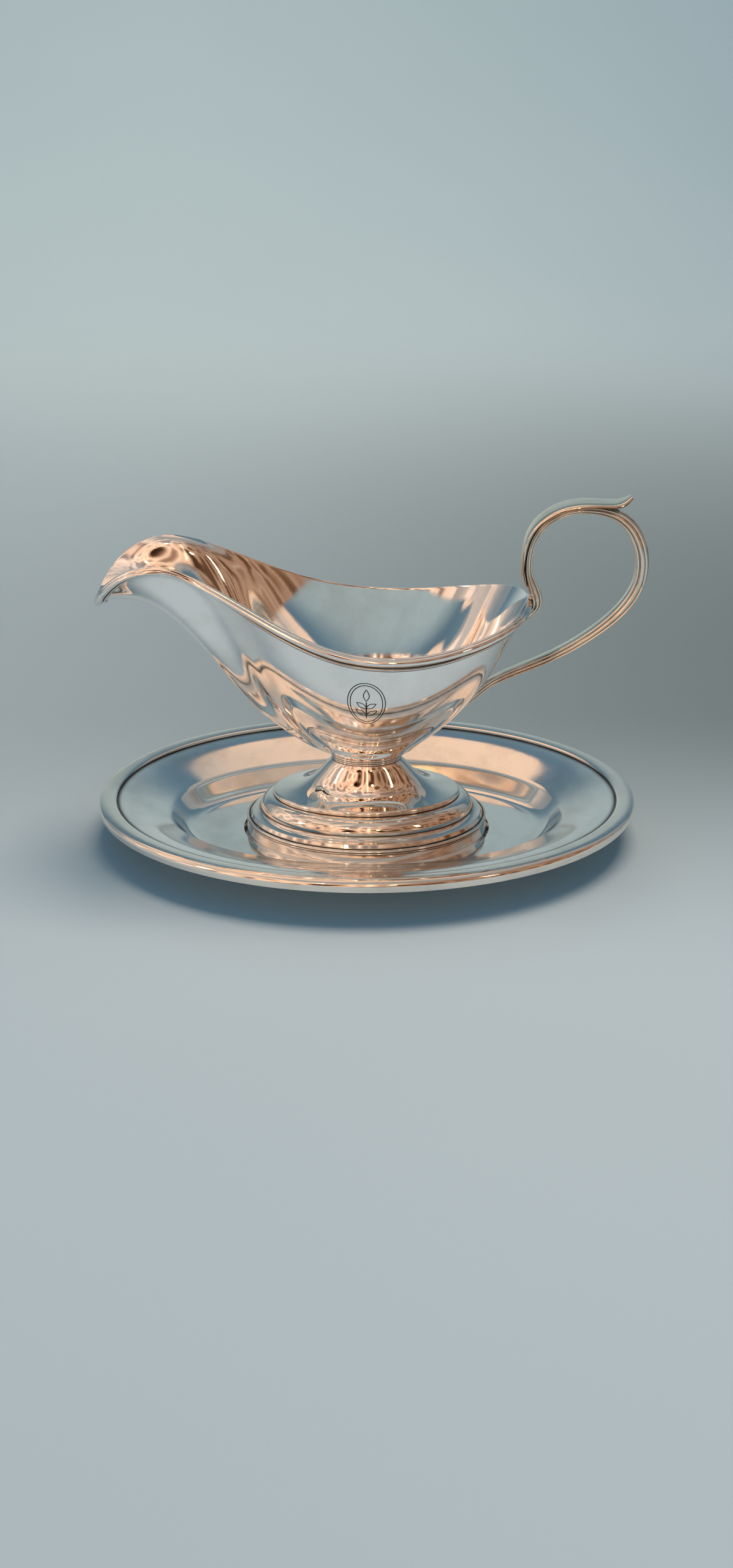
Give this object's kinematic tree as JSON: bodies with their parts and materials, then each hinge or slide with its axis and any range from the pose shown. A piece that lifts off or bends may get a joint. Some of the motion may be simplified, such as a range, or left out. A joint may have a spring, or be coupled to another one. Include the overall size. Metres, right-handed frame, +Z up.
{
  "type": "sauce boat",
  "caption": "Footed oval sauce boat with a broad raised spout and a leaf-capped loop handle, soldered to its own oval stand with a moulded edge.",
  "frame": {"origin": "middle of the stand's flat resting face", "axes": "+X towards the handle with the spout at -X, +Z up, and the object is symmetric about the plane y = 0"},
  "size_m": [0.225, 0.1528, 0.1446],
  "materials": {
    "silver_stand": "polished",
    "silver_foot": "polished",
    "silver_bowl": "polished",
    "silver_moulding": "polished",
    "silver_handle": "polished",
    "solder": "satin"
  },
  "bodies": {
    "root": {"stand_plate": "silver_stand", "stand_border": "silver_stand", "foot_apron": "silver_foot", "foot_shell": "silver_foot", "foot_solder": "solder", "neck_collar": "silver_foot", "neck_solder": "solder", "bowl_shell": "silver_bowl", "rim_moulding_near": "silver_moulding", "rim_moulding_far": "silver_moulding", "handle_loop": "silver_handle", "thumb_leaf": "silver_handle", "handle_upper_pad": "silver_handle", "handle_lower_pad": "silver_handle"}
  },
  "joints": []
}
